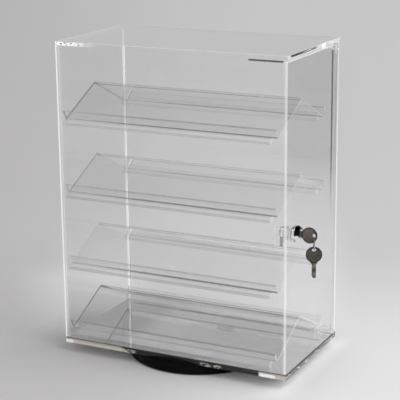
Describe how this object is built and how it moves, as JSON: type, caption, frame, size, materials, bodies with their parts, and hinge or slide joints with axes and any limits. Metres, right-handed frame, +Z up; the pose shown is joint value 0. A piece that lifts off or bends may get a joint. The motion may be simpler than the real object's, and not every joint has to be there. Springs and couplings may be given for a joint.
{
  "type": "rotating acrylic display case",
  "caption": "Tall clear acrylic counter display case on a black turntable, with tent-shaped sloped shelves, a mirrored floor and a side door with a key lock and hanging keys.",
  "frame": {"origin": "centre of the turntable's underside, on the surface it stands on, which is also the turning axis", "axes": "+Z up along the turning axis; +X towards the door with the lock; -Y towards the broad front panel"},
  "size_m": [0.4198, 0.228, 0.499],
  "materials": {
    "clear_acrylic": "clear cast acrylic sheet, polished, flame-polished edges",
    "shelf_acrylic": "clear acrylic sheet, line-bent",
    "mirror": "mirrored acrylic sheet, dark cut edge",
    "black_plastic": "fine moulded texture",
    "rubber": "matte",
    "steel": "zinc plated",
    "white_nylon": "satin nylon",
    "chrome": "bright plated",
    "key_metal": "dull plated brass, darkened by handling",
    "ring_steel": "nickel plated spring wire"
  },
  "bodies": {
    "stand": {"foot_pads": "rubber", "turntable_base": "black_plastic", "centre_bolt": "steel", "centre_washer": "steel", "centre_nut": "steel"},
    "bearing": {"ball_cage": "white_nylon", "bearing_balls": "steel"},
    "case": {"turntable_top": "black_plastic", "base_plate": "clear_acrylic", "base_screws": "steel", "mirror_sheet": "mirror", "left_panel": "clear_acrylic", "front_panel": "clear_acrylic", "back_panel": "clear_acrylic", "top_panel": "clear_acrylic", "shelf_1": "shelf_acrylic", "shelf_2": "shelf_acrylic", "shelf_3": "shelf_acrylic", "shelf_4": "shelf_acrylic", "front_strip_1": "clear_acrylic", "front_strip_2": "clear_acrylic", "front_strip_3": "clear_acrylic", "front_strip_4": "clear_acrylic", "back_strip_1": "clear_acrylic", "back_strip_2": "clear_acrylic", "back_strip_3": "clear_acrylic", "back_strip_4": "clear_acrylic", "bottom_pivot_block": "clear_acrylic", "top_pivot_block": "clear_acrylic", "bottom_hinge_pin": "white_nylon", "top_hinge_pin": "white_nylon", "thrust_washer": "white_nylon", "strike_block": "clear_acrylic"},
    "door": {"door_panel": "clear_acrylic", "lock_body": "chrome", "lock_washer": "steel", "lock_nut": "steel"},
    "plug": {"lock_plug": "chrome", "lock_cam": "steel", "cam_screw": "steel"},
    "key": {"lock_key": "key_metal"},
    "ring": {"key_ring": "ring_steel"},
    "spare": {"spare_key": "key_metal"}
  },
  "joints": [
    {"name": "turntable_spin", "type": "hinge", "parent": "stand", "child": "case", "pos_m": [0, 0, 0.0072], "axis": [0, 0, 1], "continuous": true},
    {"name": "bearing_orbit", "type": "hinge", "parent": "stand", "child": "bearing", "pos_m": [0, 0, 0.0072], "axis": [0, 0, 1], "continuous": true},
    {"name": "door_swing", "type": "hinge", "parent": "case", "child": "door", "pos_m": [0.1875, 0.0919, 0.259], "axis": [0, 0, 1], "range_deg": [0, 100]},
    {"name": "lock_turn", "type": "hinge", "parent": "door", "child": "plug", "pos_m": [0.1905, -0.0645, 0.233], "axis": [-1, 0, 0], "range_deg": [0, 90]},
    {"name": "key_slide", "type": "slide", "parent": "plug", "child": "key", "axis": [1, 0, 0], "range_m": [0, 0.024]},
    {"name": "ring_swing", "type": "hinge", "parent": "key", "child": "ring", "pos_m": [0.2182, -0.0645, 0.23095], "axis": [0.454, -0.891, 0], "range_deg": [-15, 40]},
    {"name": "spare_swing", "type": "hinge", "parent": "ring", "child": "spare", "pos_m": [0.2182, -0.0645, 0.21295], "axis": [0.454, -0.891, 0], "range_deg": [-15, 40]}
  ],
  "couplings": [
    {"joint": "bearing_orbit", "follows": "turntable_spin", "ratio": 0.5}
  ]
}
